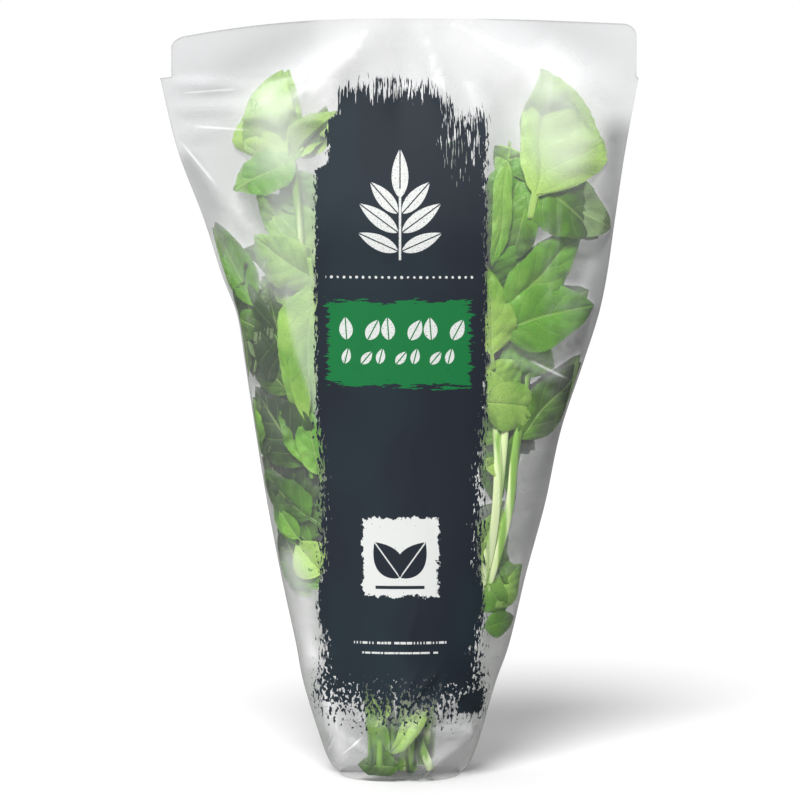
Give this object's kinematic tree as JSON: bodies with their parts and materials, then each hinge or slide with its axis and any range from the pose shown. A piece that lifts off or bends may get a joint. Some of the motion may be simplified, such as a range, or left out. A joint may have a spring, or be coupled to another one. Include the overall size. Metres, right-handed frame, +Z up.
{
  "type": "bag of fresh basil",
  "caption": "Tapering clear film pouch, rounded at the foot and welded flat at the top, filled with sprigs of fresh basil, with a dark printed panel down its front.",
  "frame": {"origin": "middle of the flat spot under the foot, on the surface that the pouch stands on", "axes": "+Z up from the foot to the header, +X to the right seen from the printed front, -Y out of the printed front"},
  "size_m": [0.2194, 0.0722, 0.35],
  "materials": {
    "film": "clear, slightly milky film with a dark printed panel on the front, over green leaves",
    "leaf": "satin, quilted between the veins, paler underneath",
    "stem": "satin, pale green"
  },
  "bodies": {
    "root": {"basil_pouch": "film"}
  },
  "joints": []
}
